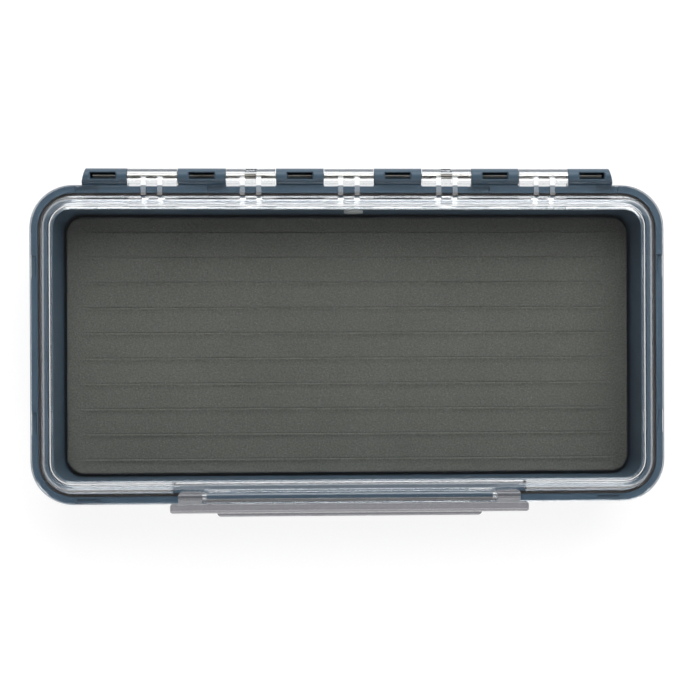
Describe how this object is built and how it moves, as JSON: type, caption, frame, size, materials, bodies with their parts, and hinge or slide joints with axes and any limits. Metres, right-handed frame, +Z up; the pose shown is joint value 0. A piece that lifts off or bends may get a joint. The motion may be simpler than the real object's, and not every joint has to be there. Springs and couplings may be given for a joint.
{
  "type": "fly box",
  "caption": "Flat waterproof box with a clear domed lid on a long hinge pin, a wide snap latch and a slab of slit foam for fishing flies",
  "frame": {"origin": "middle of the flat underside of the tray, halfway between its long and short walls", "axes": "+X along the hinge, +Y towards the hinge, +Z up towards the lid; the latch is on the -Y side"},
  "size_m": [0.1968, 0.1087, 0.0318],
  "materials": {
    "tray_plastic": "blue-grey moulded plastic, satin",
    "clear_plastic": "clear moulded plastic, glossy",
    "seal_rubber": "dark silicone, matt",
    "pin_steel": "drawn steel wire",
    "frosted_plastic": "frosted translucent plastic",
    "foam": "closed-cell foam, matt, fine grained",
    "adhesive": "thin double-sided adhesive sheet",
    "magnet_metal": "nickel plated"
  },
  "bodies": {
    "tray": {"tray": "tray_plastic", "lid_seal": "seal_rubber", "hinge_pin": "pin_steel", "foam_insert": "foam", "foam_adhesive": "adhesive", "wall_magnet": "magnet_metal"},
    "lid": {"lid": "clear_plastic"},
    "latch": {"latch": "frosted_plastic"}
  },
  "joints": [
    {"name": "lid_hinge", "type": "hinge", "parent": "tray", "child": "lid", "pos_m": [0, 0.0523, 0.0243], "axis": [-1, 0, 0], "range_deg": [0, 180]},
    {"name": "latch_hinge", "type": "hinge", "parent": "lid", "child": "latch", "pos_m": [0, -0.04685, 0.0282], "axis": [-1, 0, 0], "range_deg": [0, 110]}
  ]
}
